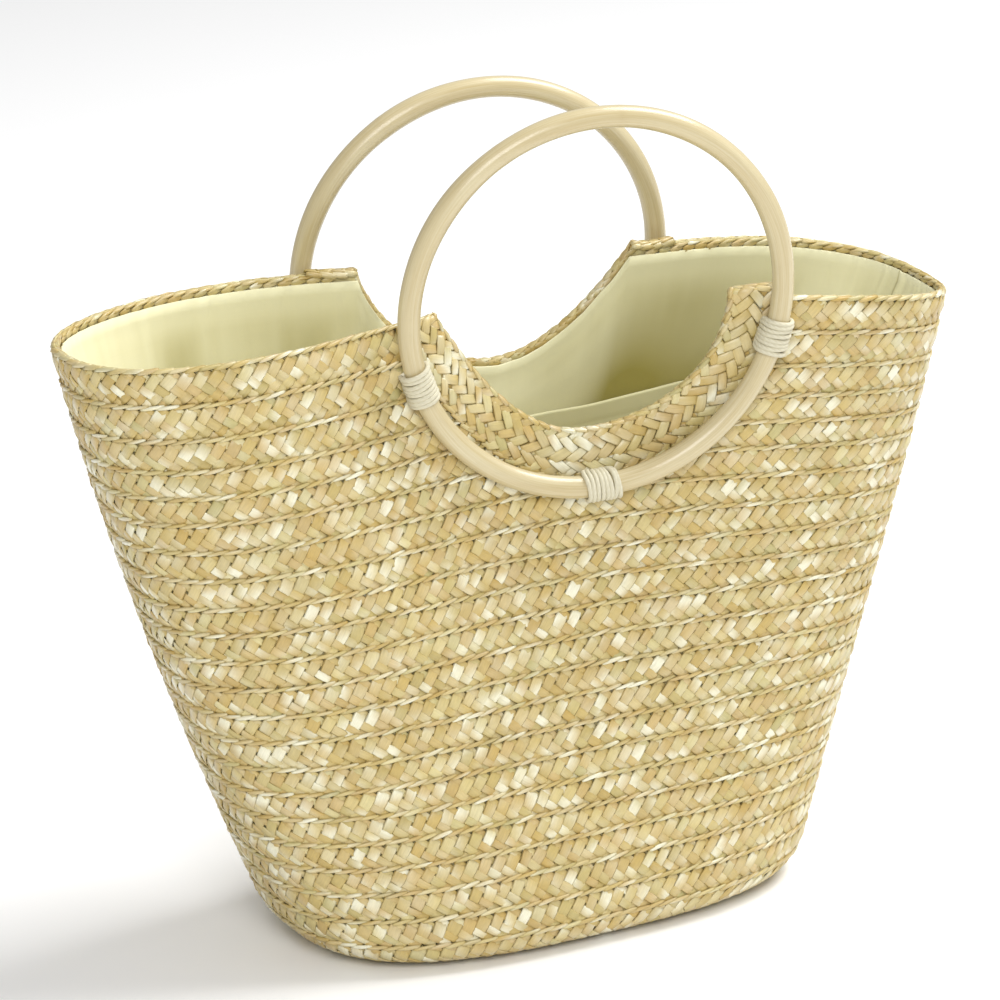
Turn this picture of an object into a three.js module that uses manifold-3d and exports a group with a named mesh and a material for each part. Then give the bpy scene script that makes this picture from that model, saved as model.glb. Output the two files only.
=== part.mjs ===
// Straw basket bag: a sewn-plait basket with a cloth lining and two round wood handles.
// Millimetres, +Z up. The front wall faces -Y and the mouth is longest along X.
import * as THREE from "three";
import { mergeVertices } from "three/addons/utils/BufferGeometryUtils.js";
import Module from "manifold-3d";

const { cos, sin, exp, abs, PI } = Math;
const radians = THREE.MathUtils.degToRad;

// Basket form. The foot's length and depth are those of the wall lines carried down to the floor.
const bagHeight = 283.5;
const footLength = 242;
const footDepth = 145;
const mouthLength = 406;
const mouthDepth = 163;
const endSwell = 7.4; // each end wall stands out this far half way up
const frontHollow = 12.4; // the front wall draws in this far half way up
const backSwell = 4.5;
const footRadius = 18.8;
const footFullness = 2.68; // exponent of the foot's rounded outline: 2 is an ellipse
const mouthTwist = radians(-7.85);
const mouthShiftX = -10.8;
const mouthShiftY = 3;
const leftEndDrop = 4.5; // the rim lies this much lower at the mouth's ends
const rightEndDrop = 17.1;
const endDropPower = 2.5; // how late along the mouth the drop sets in
const leftTipSharpening = 0.28;

// Straw wall
const wallThickness = 2.6;
const floorThickness = 3;
const rowCount = 20;
const rowRelief = 1.3; // each plait row leans back this much under the edge of the row below
const rowLap = 0.06; // share of a row's height that its ledge takes

// Scoops. The tuck is how far each dips past the place that the ring gives it.
const frontScoopX = 6;
const frontScoopTuck = 2.1;
const backScoopX = 11;
const backScoopTuck = -17.7;

// Scoop trim, a wider plait laid over the wall along each scoop
const trimWidth = 21;
const trimThickness = 2.2;
const trimStand = 3.5; // its turned ends stand this far above the rim
const trimShy = 0.5; // its outer edge stops this far inside the middle of the ring's stock

// Lining and its slip pocket
const liningThickness = 1;
const liningBelowRim = 4.5;
const pocketWidth = 200;
const pocketHeight = 140;
const pocketTop = 212;
const pocketCentreX = 18;

// Ring handles
const handleRadius = 84; // to the middle of the stock
const stockRadius = 4.8;
const frontHandleX = 3.8;
const frontHandleRise = 3.5; // the ring's centre above the rim
const backHandleX = 11.6;
const backHandleRise = -8.5;
const handleStandoff = 7.2; // middle of the stock to the wall's outermost face
const bindingAngles = { left: 200, middle: 272.5, right: 344.5 }; // degrees round the ring

// Cord bindings
const cordDiameter = 2.2;
const cordTurns = 7;
const cordSink = 0.5; // depth of the grooves between turns
const cordBuild = 1.3; // thickness that the winding adds round the stock
const cordClearance = 0.4;
const tongueWidth = 2.4; // the strands that pass through the straw
const tongueLength = 8;

const seam = 0.3; // gap between pieces that touch

// Mesh fineness
const wallSegments = 38;
const smoothLevels = 6;
const footSteps = [0.35, 0.65, 1.1]; // shares of the foot's radius
const lowestRowSteps = [0, 0.13, 0.45]; // shares of the lowest row's height
const trimSegments = 12;
const stockSides = 10;
const ringSteps = 40;
const weld = 1e-4;
const turnStep = 1e-3;
const seekPasses = 6;
const seekHalvings = 30;

// Front and back of the basket. Fullness is the mouth's exponent at each corner. The pinch is a
// dent in the middle of the wall: depth, place and width are shares of the half depth and half
// length, and growth is the power of the height at which it deepens.
const front = {
  sign: -1,
  swell: -frontHollow,
  leftFullness: 2.69,
  rightFullness: 3.13,
  pinch: { depth: 0.73, place: -0.04, width: 0.59, widening: 0.17, growth: 1.43 },
  lean: -0.1,
  scoop: { centreX: frontScoopX, leftFlare: 1, rightFlare: 0.5, tuck: frontScoopTuck },
  handle: { centreX: frontHandleX, rise: frontHandleRise },
};
const back = {
  sign: 1,
  swell: backSwell,
  leftFullness: 2.39,
  rightFullness: 3.02,
  pinch: { depth: 0.51, place: 0.17, width: 0.62, widening: 0, growth: 2.21 },
  lean: 0.04,
  scoop: { centreX: backScoopX, leftFlare: 0.75, rightFlare: 1, tuck: backScoopTuck },
  handle: { centreX: backHandleX, rise: backHandleRise },
};

const straw = { color: 0xd8c189, roughness: 0.6, metalness: 0 };
const plaitTrim = { color: 0xdcc893, roughness: 0.55, metalness: 0 };
const cloth = { color: 0xe1dab4, roughness: 0.85, metalness: 0 };
const rattan = { color: 0xdecda5, roughness: 0.35, metalness: 0 };
const cord = { color: 0xe1dec8, roughness: 0.7, metalness: 0 };

const wasm = await Module();
wasm.setup();

// A closed geometry as a solid that can be joined and cut.
function solid(geometry) {
  const bare = geometry.clone();
  bare.deleteAttribute("normal");
  bare.deleteAttribute("uv");
  const merged = mergeVertices(bare, weld);
  return new wasm.Manifold(
    new wasm.Mesh({
      numProp: 3,
      vertProperties: merged.attributes.position.array,
      triVerts: new Uint32Array(merged.index.array),
    }),
  );
}

// A solid's surface as a geometry.
function geometryOf(body) {
  const { vertProperties, triVerts } = body.getMesh();
  const geometry = new THREE.BufferGeometry();
  geometry.setAttribute("position", new THREE.BufferAttribute(vertProperties, 3));
  geometry.setIndex(new THREE.BufferAttribute(triVerts, 1));
  geometry.computeVertexNormals();
  return geometry;
}

function piece(name, geometry, finish) {
  const mesh = new THREE.Mesh(geometry, new THREE.MeshStandardMaterial(finish));
  mesh.name = name;
  return mesh;
}

const hemShare = 1 - liningBelowRim / bagHeight;

// How far the quarter-round foot tucks in at a height above the floor.
function footTuck(height) {
  const q = THREE.MathUtils.clamp(1 - height / footRadius, 0, 1);
  return footRadius * (1 - Math.sqrt(1 - q * q));
}

// Point of the wall's outermost face at a turn about Z (0 at the right end) and a share of the
// height. The outline is a rounded oblong, pinched in the middle and twisted a little upwards.
function wallPoint(turn, share) {
  const c = cos(turn);
  const s = sin(turn);
  const side = s < 0 ? front : back;
  const mouthFullness = c < 0 ? side.leftFullness : side.rightFullness;
  const sharpening = c < 0 ? leftTipSharpening * share ** 4 : 0;
  const fullness = footFullness + (mouthFullness - footFullness) * share - sharpening;
  const reach = (abs(c) ** fullness + abs(s) ** fullness) ** (-1 / fullness);
  const along = c * reach;
  const across = s * reach;
  const bow = 4 * share * (1 - share);
  const tuck = footTuck(bagHeight * share);
  const halfLength = (footLength + (mouthLength - footLength) * share) / 2 + endSwell * bow - tuck;
  const halfDepth = (footDepth + (mouthDepth - footDepth) * share) / 2 + side.swell * bow - tuck;
  const { depth, place, width, widening, growth } = side.pinch;
  const spread = width * (1 + widening * (1 - share));
  const pinch = depth * exp(-(((along - place) / spread) ** 2)) * share ** growth;
  const endDrop = (c < 0 ? leftEndDrop : rightEndDrop) * abs(along) ** endDropPower;
  return new THREE.Vector3(
    halfLength * along,
    halfDepth * across * (1 - pinch + side.lean * share * along),
    share * (bagHeight - endDrop),
  )
    .applyAxisAngle(new THREE.Vector3(0, 0, 1), mouthTwist * share)
    .add(new THREE.Vector3(mouthShiftX * share, mouthShiftY * share, 0));
}

// Level unit vector that points out of the wall.
function outward(turn, share) {
  const run = wallPoint(turn + turnStep, share).sub(wallPoint(turn - turnStep, share));
  return new THREE.Vector3(run.y, -run.x, 0).normalize();
}

// Point on one side's wall straight behind x and z, with the wall's outward direction there.
function wallBehind(side, x, z) {
  let share = z / bagHeight;
  let turn = 0;
  for (let pass = 0; pass < seekPasses; pass++) {
    let left = PI;
    let right = side.sign < 0 ? 2 * PI : 0;
    for (let halving = 0; halving < seekHalvings; halving++) {
      turn = (left + right) / 2;
      if (wallPoint(turn, share).x < x) left = turn;
      else right = turn;
    }
    share *= z / wallPoint(turn, share).z;
  }
  return { point: wallPoint(turn, share), out: outward(turn, share) };
}

// A skin of the basket: each profile point has a reach (0 on the axis, 1 on the wall), a share of
// the height and an inset from the wall's outermost face. The profile runs up the outside first.
function skin(profile) {
  const outline = profile.map(({ reach, share }) => new THREE.Vector2(reach, share));
  const geometry = new THREE.LatheGeometry(outline, wallSegments);
  const { position } = geometry.attributes;
  for (let i = 0; i <= wallSegments; i++) {
    const turn = (2 * PI * (i % wallSegments)) / wallSegments;
    profile.forEach(({ reach, share, inset }, j) => {
      const middle = new THREE.Vector3(mouthShiftX * share, mouthShiftY * share, bagHeight * share);
      const point = wallPoint(turn, share).addScaledVector(outward(turn, share), -inset);
      point.lerpVectors(middle, point, reach);
      position.setXYZ(i * profile.length + j, point.x, point.y, point.z);
    });
  }
  return solid(geometry);
}

// Smooth levels of the wall between two shares of the height, at one inset. Every skin shares the
// same levels between its ends, closer together round the foot, so that nested skins stay apart.
function levels(low, high, inset, count = smoothLevels) {
  const foot = footSteps.map((step) => (step * footRadius) / bagHeight);
  const walls = Array.from({ length: count }, (_, i) => (i + 1) / count);
  const between = [...foot, ...walls, hemShare]
    .filter((share) => share > low && share < high)
    .sort((a, b) => a - b);
  return [low, ...between, high].map((share) => ({ reach: 1, share, inset }));
}

// Everything inside the basket from a height above the floor up to a share of the bag's height.
function filling(inset, floorHeight, topShare) {
  const low = floorHeight / bagHeight;
  return skin([
    { reach: 0, share: low, inset },
    ...levels(low, topShare, inset),
    { reach: 0, share: topShare, inset },
  ]);
}

// The plait rows from the foot up: each leans out from its hidden lower edge to its upper edge.
function rowLevels() {
  const foot = lowestRowSteps.map((part) => ({ reach: 1, share: part / rowCount, inset: 0 }));
  const rows = Array.from({ length: rowCount }, (_, i) => [
    { reach: 1, share: (i + rowLap) / rowCount, inset: rowRelief },
    { reach: 1, share: (i + 1) / rowCount, inset: 0 },
  ]);
  return [...foot, ...rows.flat().slice(1)];
}

// The scoop's edge from left to right in X and Z. The flare is the power of the curve on each
// side: 0.5 is round and 1 runs straighter up to the rim.
const scoopHalfWidth = handleRadius - trimWidth - trimShy;

function scoopDepth({ scoop, handle }) {
  return handleRadius - stockRadius - handle.rise - trimWidth + scoop.tuck;
}

function scoopEdge(side) {
  const { centreX, leftFlare, rightFlare } = side.scoop;
  return Array.from({ length: trimSegments + 1 }, (_, i) => {
    const share = -cos((PI * i) / trimSegments);
    const flare = share < 0 ? leftFlare : rightFlare;
    const sag = scoopDepth(side) * Math.max(0, 1 - share * share) ** flare;
    return new THREE.Vector2(centreX + scoopHalfWidth * share, bagHeight - sag);
  });
}

// A path moved sideways, away from the inside of the scoop.
function widened(path, distance) {
  return path.map((point, i) => {
    const run = path[Math.min(i + 1, path.length - 1)].clone().sub(path[Math.max(i - 1, 0)]);
    run.normalize();
    return new THREE.Vector2(point.x + run.y * distance, point.y - run.x * distance);
  });
}

// The path with both ends carried straight up past the rim.
function carriedUp(path) {
  const top = bagHeight + trimWidth;
  const first = path[0];
  const last = path[path.length - 1];
  return [new THREE.Vector2(first.x, top), ...path, new THREE.Vector2(last.x, top)];
}

// A flat outline in X and Z, carried through one side of the basket from the middle outwards.
function throughSide(outline, side) {
  const depth = mouthDepth;
  const geometry = new THREE.ExtrudeGeometry(new THREE.Shape(outline), { depth, bevelEnabled: false });
  geometry.rotateX(PI / 2);
  geometry.translate(0, side.sign > 0 ? depth : 0, 0);
  return solid(geometry);
}

function scoopCut(side) {
  return throughSide(carriedUp(scoopEdge(side)), side);
}

// The ring's place: its plane lies at the standoff from the wall at the three bindings.
function handlePlace(side) {
  const { centreX, rise } = side.handle;
  const centreZ = bagHeight + rise;
  const [left, middle, right] = Object.values(bindingAngles).map((angle) => {
    const x = centreX + handleRadius * cos(radians(angle));
    const z = centreZ + handleRadius * sin(radians(angle));
    const { point, out } = wallBehind(side, x, z);
    return point.addScaledVector(out, handleStandoff);
  });
  const plane = new THREE.Plane().setFromCoplanarPoints(left, middle, right);
  const facing = plane.normal.y > 0 ? plane.normal.clone().negate() : plane.normal.clone();
  const level = new THREE.Vector3(-facing.y, facing.x, 0).normalize();
  const up = new THREE.Vector3().crossVectors(facing, level);
  const line = new THREE.Line3(
    new THREE.Vector3(centreX, -mouthLength, centreZ),
    new THREE.Vector3(centreX, mouthLength, centreZ),
  );
  const centre = plane.intersectLine(line, new THREE.Vector3());
  return { centre, turn: new THREE.Matrix4().makeBasis(level, up, facing) };
}

// Wound cord round the stock, as a sleeve with a ridge for each turn, bent along the ring.
function windingGeometry() {
  const half = (cordTurns * cordDiameter) / 2;
  const bore = stockRadius + cordClearance;
  const outer = stockRadius + cordClearance + cordBuild;
  const ridges = Array.from({ length: 2 * cordTurns + 1 }, (_, i) => {
    const radius = i % 2 ? outer : outer - cordSink;
    return new THREE.Vector2(radius, -half + (i * cordDiameter) / 2);
  });
  const profile = [new THREE.Vector2(bore, -half), ...ridges, new THREE.Vector2(bore, half)];
  profile.push(profile[0].clone());
  const geometry = new THREE.LatheGeometry(profile, stockSides, PI / 2);
  const { position } = geometry.attributes;
  for (let i = 0; i < position.count; i++) {
    const angle = position.getY(i) / handleRadius;
    const radius = handleRadius + position.getX(i);
    position.setXYZ(i, radius * cos(angle), radius * sin(angle), position.getZ(i));
  }
  return geometry;
}

// A straight block from the middle of the winding's thickness down to a depth below the ring.
function blockUnderWinding(side, width, length, depth) {
  const start = stockRadius + cordClearance + cordBuild / 2;
  const geometry = new THREE.BoxGeometry(width, length, depth - start);
  return geometry.translate(handleRadius, 0, (side.sign * (start + depth)) / 2);
}

// The strands from the winding that end half way through the straw.
function tongueGeometry(side) {
  return blockUnderWinding(side, tongueWidth, tongueLength, handleStandoff + wallThickness / 2);
}

// The slot that the strands pass through, right through trim, straw and lining.
function slotGeometry(side) {
  const depth = handleStandoff + 2 * (wallThickness + liningThickness);
  return blockUnderWinding(side, tongueWidth + 2 * seam, tongueLength + 2 * seam, depth);
}

// One handle: the ring in its own frame, with a turned pivot for each binding.
function handle(side, name) {
  const { centre, turn } = handlePlace(side);
  const group = new THREE.Group();
  group.position.copy(centre);
  group.quaternion.setFromRotationMatrix(turn);
  const ring = new THREE.TorusGeometry(handleRadius, stockRadius, stockSides, ringSteps);
  group.add(piece(`ring_handle_${name}`, ring, rattan));
  const slots = Object.entries(bindingAngles).map(([place, angle]) => {
    const pivot = new THREE.Group();
    pivot.rotation.z = radians(angle);
    const winding = solid(windingGeometry()).add(solid(tongueGeometry(side)));
    pivot.add(piece(`binding_${name}_${place}`, geometryOf(winding), cord));
    group.add(pivot);
    return pivot;
  });
  group.updateMatrixWorld(true);
  const cuts = slots.map((pivot) => {
    return solid(slotGeometry(side).applyMatrix4(pivot.matrixWorld));
  });
  const berth = new THREE.TorusGeometry(
    handleRadius,
    stockRadius + cordClearance + cordBuild + seam,
    stockSides,
    ringSteps,
  );
  return { group, cuts, berth: solid(berth.applyMatrix4(group.matrixWorld)) };
}

// The straw basket: plait rows round a hollow, open at the mouth, with a scoop in each side.
function strawBody(cuts) {
  const outside = skin([
    { reach: 0, share: 0, inset: 0 },
    ...rowLevels(),
    { reach: 0, share: 1, inset: 0 },
  ]);
  const hollow = filling(wallThickness, floorThickness, 1 + wallThickness / bagHeight);
  return [hollow, scoopCut(front), scoopCut(back), ...cuts].reduce(
    (body, cut) => body.subtract(cut),
    outside,
  );
}

// The trim band of one side, lying on the wall along the scoop. It makes room for the ring that
// lies over its outer edge and for the strands that pass through it.
function scoopTrim(side, { berth, cuts }) {
  const edge = scoopEdge(side);
  const low = (bagHeight - scoopDepth(side) - trimWidth - trimStand) / bagHeight;
  const high = 1 + trimStand / bagHeight;
  const shell = skin([
    ...levels(low, high, -seam - trimThickness, rowCount),
    ...levels(low, high, -seam, rowCount).reverse(),
    { reach: 1, share: low, inset: -seam - trimThickness },
  ]);
  const band = [...carriedUp(widened(edge, trimWidth)), ...carriedUp(edge).reverse()];
  const trim = shell.intersect(throughSide(band, side));
  return [berth, ...cuts].reduce((body, cut) => body.subtract(cut), trim);
}

const liningInset = wallThickness + seam;
const liningFace = liningInset + liningThickness;
const liningFloor = floorThickness + seam;

function lining() {
  const outside = filling(liningInset, liningFloor, hemShare);
  const inside = filling(liningFace, liningFloor + liningThickness, 1);
  return outside.subtract(inside).subtract(scoopCut(front)).subtract(scoopCut(back));
}

// The slip pocket: a second skin on the back lining between its bottom seam and its top hem.
function liningPocket() {
  const outside = filling(liningFace + seam, liningFloor + liningThickness, 1);
  const inside = filling(liningFace + seam + liningThickness, liningFloor + liningThickness, 1);
  const left = pocketCentreX - pocketWidth / 2;
  const right = pocketCentreX + pocketWidth / 2;
  const bottom = pocketTop - pocketHeight;
  const outline = [
    new THREE.Vector2(left, bottom),
    new THREE.Vector2(right, bottom),
    new THREE.Vector2(right, pocketTop),
    new THREE.Vector2(left, pocketTop),
  ];
  return outside.subtract(inside).intersect(throughSide(outline, back));
}

const frontHandle = handle(front, "front");
const backHandle = handle(back, "back");
const bag = new THREE.Group();
bag.add(
  piece("straw_body", geometryOf(strawBody([...frontHandle.cuts, ...backHandle.cuts])), straw),
  piece("scoop_trim_front", geometryOf(scoopTrim(front, frontHandle)), plaitTrim),
  piece("scoop_trim_back", geometryOf(scoopTrim(back, backHandle)), plaitTrim),
  piece("lining", geometryOf(lining()), cloth),
  piece("lining_pocket", geometryOf(liningPocket()), cloth),
  frontHandle.group,
  backHandle.group,
);

// The origin is on the floor under the middle of the whole bag.
const extent = new THREE.Box3().setFromObject(bag, true);
const middle = extent.getCenter(new THREE.Vector3());
bag.position.set(-middle.x, -middle.y, 0);

export default bag;
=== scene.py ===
"""Looks of the straw basket bag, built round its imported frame.

The basket is sewn from rows of flat seven-strand plait. Every strand that shows is a small closed
ribbon of its own, bent over its neighbours. Lengths are in millimetres until a mesh is written.
"""

import logging
import math
from collections.abc import Callable, Sequence
from dataclasses import dataclass, field, replace
from enum import Enum
from typing import Any

import bpy
import numpy as np
from mathutils import Matrix


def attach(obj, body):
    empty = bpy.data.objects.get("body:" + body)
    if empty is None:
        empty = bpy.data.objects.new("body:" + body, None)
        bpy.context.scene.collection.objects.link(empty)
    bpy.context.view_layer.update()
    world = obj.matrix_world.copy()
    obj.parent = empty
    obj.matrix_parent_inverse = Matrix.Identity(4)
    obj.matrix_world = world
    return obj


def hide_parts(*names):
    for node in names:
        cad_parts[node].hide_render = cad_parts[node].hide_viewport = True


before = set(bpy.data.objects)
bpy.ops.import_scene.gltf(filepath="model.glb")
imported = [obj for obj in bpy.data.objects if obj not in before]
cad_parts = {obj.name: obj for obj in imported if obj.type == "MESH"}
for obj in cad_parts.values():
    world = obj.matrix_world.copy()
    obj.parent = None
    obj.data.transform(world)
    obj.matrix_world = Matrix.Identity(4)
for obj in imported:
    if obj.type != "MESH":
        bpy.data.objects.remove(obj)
log = logging.getLogger("straw_bag")

METRES = 0.001
TAU = 2 * math.pi
BODY = "root"
Array = np.ndarray
Colour = tuple[float, float, float]


def linear(red: float, green: float, blue: float) -> Colour:
    """A colour given as screen values from 0 to 255, as linear light.

    Args:
        red, green, blue: Screen values.

    Returns:
        Three linear values from 0 to 1.
    """
    screen = np.array([red, green, blue]) / 255
    return tuple(np.where(screen <= 0.04045, screen / 12.92, ((screen + 0.055) / 1.055) ** 2.4))


def ramp(value: Array, low: float, high: float) -> Array:
    """A smooth step: 0 at low, 1 at high, and level at both ends.

    Args:
        value: Where to read it.
        low: Value that gives 0.
        high: Value that gives 1.

    Returns:
        The step at each value.
    """
    t = np.clip((value - low) / (high - low), 0, 1)
    return t * t * (3 - 2 * t)


def turn_gap(turn: Array, place: float) -> Array:
    """How far each turn lies from a place, the short way round."""
    return (turn - place + math.pi) % TAU - math.pi


# ---- Mesh writing ----


@dataclass
class Surface:
    """Points and faces of one piece, gathered before they go into a mesh.

    Faces are kept by their number of corners, each as one array of point numbers.
    """

    points: list[Array] = field(default_factory=list)
    faces: list[Array] = field(default_factory=list)
    places: list[Array] = field(default_factory=list)
    tints: list[Array] = field(default_factory=list)
    gloss_and_shade_levels: list[Array] = field(default_factory=list)
    count: int = 0

    def add(
        self,
        points: Array,
        faces: Sequence[Array],
        places: Array,
        tints: Array | None = None,
        gloss_and_shade_levels: Array | None = None,
    ) -> None:
        """Adds points with their faces.

        Args:
            points: Places in millimetres, one row each.
            faces: Arrays of point numbers, one face a row.
            places: Pattern coordinates of each point, two a row.
            tints: Linear colour of each point.
            gloss_and_shade_levels: Gloss of each point from 0 to 1; on cloth, the share of painted shade.
        """
        size = len(points)
        self.points.append(points)
        self.faces.extend(np.asarray(block) + self.count for block in faces if len(block))
        self.places.append(places)
        self.tints.append(np.ones((size, 3)) if tints is None else tints)
        self.gloss_and_shade_levels.append(np.zeros(size) if gloss_and_shade_levels is None else gloss_and_shade_levels)
        self.count += size

    def volume(self, points: Array) -> float:
        """Signed volume, as the sum over all faces of the pyramids down to the origin."""
        total = 0.0
        for block in self.faces:
            first = points[block[:, 0]]
            for corner in range(1, block.shape[1] - 1):
                second, third = points[block[:, corner]], points[block[:, corner + 1]]
                total += float((first * np.cross(second, third)).sum()) / 6
        return total

    def piece(self, name: str, finish: bpy.types.Material, slot: str, *nodes: str) -> bpy.types.Object:
        """Writes the mesh and places the piece on the frame.

        Args:
            name: Name of the piece.
            finish: Its material.
            slot: The record's material slot; not used.
            nodes: CAD nodes that it stands for.

        Returns:
            The new object.
        """
        points = np.concatenate(self.points)
        turned = self.volume(points - points.mean(axis=0)) < 0
        blocks = [block[:, ::-1] if turned else block for block in self.faces]
        corners = np.concatenate([block.ravel() for block in blocks])
        sizes = np.concatenate([np.full(len(block), block.shape[1]) for block in blocks])
        mesh = bpy.data.meshes.new(name)
        mesh.vertices.add(len(points))
        mesh.vertices.foreach_set("co", (points * METRES).astype(np.float32).ravel())
        mesh.loops.add(len(corners))
        mesh.loops.foreach_set("vertex_index", corners.astype(np.int32))
        mesh.polygons.add(len(sizes))
        starts = np.concatenate([[0], np.cumsum(sizes)[:-1]])
        mesh.polygons.foreach_set("loop_start", starts.astype(np.int32))
        mesh.polygons.foreach_set("use_smooth", np.ones(len(sizes), dtype=bool))
        mesh.update(calc_edges=True)
        pattern = np.concatenate(self.places)[corners]
        mesh.uv_layers.new(name="pattern").data.foreach_set("uv", pattern.astype(np.float32).ravel())
        tint = mesh.attributes.new("tint", "FLOAT_COLOR", "POINT")
        rgba = np.concatenate([np.concatenate(self.tints), np.ones((len(points), 1))], axis=1)
        tint.data.foreach_set("color", rgba.astype(np.float32).ravel())
        # Gloss for straw; on cloth, the share of painted shade.
        gloss = mesh.attributes.new("gloss", "FLOAT", "POINT")
        gloss.data.foreach_set("value", np.concatenate(self.gloss_and_shade_levels).astype(np.float32))
        mesh.materials.append(finish)
        made = bpy.data.objects.new(name, mesh)
        bpy.context.scene.collection.objects.link(made)
        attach(made, BODY)
        if nodes:
            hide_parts(*nodes)
        log.info("%s: %d triangles", name, int((sizes - 2).sum()))
        return made


def band_faces(rows: int, columns: int, closed: bool = True, looped: bool = False) -> Array:
    """Four-cornered faces between the points of a grid.

    Args:
        rows: Number of grid rows.
        columns: Number of points in a row.
        closed: Whether each row's last point joins its first.
        looped: Whether the last row joins the first.

    Returns:
        Point numbers, one face a row.
    """
    row_count, column_count = rows - (not looped), columns - (not closed)
    row, column = np.meshgrid(np.arange(row_count), np.arange(column_count), indexing="ij")
    after = (column + 1) % columns
    low, high = row * columns, (row + 1) % rows * columns
    return np.stack([low + column, low + after, high + after, high + column], axis=-1).reshape(-1, 4)


def run_length(path: Array) -> Array:
    """Length of a path up to each of its points."""
    return np.concatenate([[0], np.cumsum(np.linalg.norm(np.diff(path, axis=0), axis=1))])


def along_path(where: Array, marks: Array, path: Array) -> Array:
    """A path's first two coordinates, read between its points.

    Args:
        where: Where to read it.
        marks: The mark at each of the path's points, rising.
        path: The path's points.

    Returns:
        Two coordinates for each place.
    """
    return np.stack([np.interp(where, marks, path[:, k]) for k in range(2)], axis=-1)


def cap_faces(start: int, columns: int, pole: int, turned: bool) -> Array:
    """Three-cornered faces from a closed row of points to a pole.

    Args:
        start: Number of the row's first point.
        columns: Number of points in the row.
        pole: Number of the pole's point.
        turned: Whether to turn the faces round.

    Returns:
        Point numbers, one face a row.
    """
    here = np.arange(columns)
    after = (here + 1) % columns
    fan = np.stack([np.full(columns, pole), start + here, start + after], axis=-1)
    return fan[:, ::-1] if turned else fan


def loop_tube(path: Array, radius: float, sides: int) -> tuple[Array, list[Array], Array]:
    """A round section carried along a path that joins its own start, square to its run.

    Args:
        path: Points of the middle line.
        radius: Radius of the section.
        sides: Number of points round the section.

    Returns:
        Points, faces and pattern coordinates in millimetres round and along the tube.
    """
    run = np.roll(path, -1, axis=0) - np.roll(path, 1, axis=0)
    run /= np.linalg.norm(run, axis=1, keepdims=True)
    reference = path - path.mean(axis=0)
    side = reference - (reference * run).sum(axis=1, keepdims=True) * run
    side /= np.linalg.norm(side, axis=1, keepdims=True)
    other = np.cross(run, side)
    turn = TAU * np.arange(sides) / sides
    section = np.cos(turn)[None, :, None] * side[:, None] + np.sin(turn)[None, :, None] * other[:, None]
    points = (path[:, None] + radius * section).reshape(-1, 3)
    along, around = np.meshgrid(run_length(path), radius * turn, indexing="ij")
    faces = [band_faces(len(path), sides, looped=True)]
    return points, faces, np.stack([around.ravel(), along.ravel()], axis=-1)


# ---- Finishes ----


class Shade:
    """A shader value that Python's operators work on, each adding a Math node."""

    def __init__(self, bench: "Bench", socket: bpy.types.NodeSocket) -> None:
        """Wraps an output socket of a bench's material."""
        self.bench = bench
        self.socket = socket

    def _math(self, operation: str, first: Any, second: Any) -> "Shade":
        """Adds one Math node.

        Args:
            operation: Its operation.
            first: Its first value, or a shade.
            second: Its second value, or a shade.

        Returns:
            The result.
        """
        return self.bench.make("ShaderNodeMath", {"operation": operation}, {0: first, 1: second})

    def __add__(self, other: Any) -> "Shade":
        """The sum."""
        return self._math("ADD", self, other)

    __radd__ = __add__

    def __sub__(self, other: Any) -> "Shade":
        """This less the other."""
        return self._math("SUBTRACT", self, other)

    def __rsub__(self, other: Any) -> "Shade":
        """The other less this."""
        return self._math("SUBTRACT", other, self)

    def __mul__(self, other: Any) -> "Shade":
        """The product."""
        return self._math("MULTIPLY", self, other)

    __rmul__ = __mul__


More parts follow.
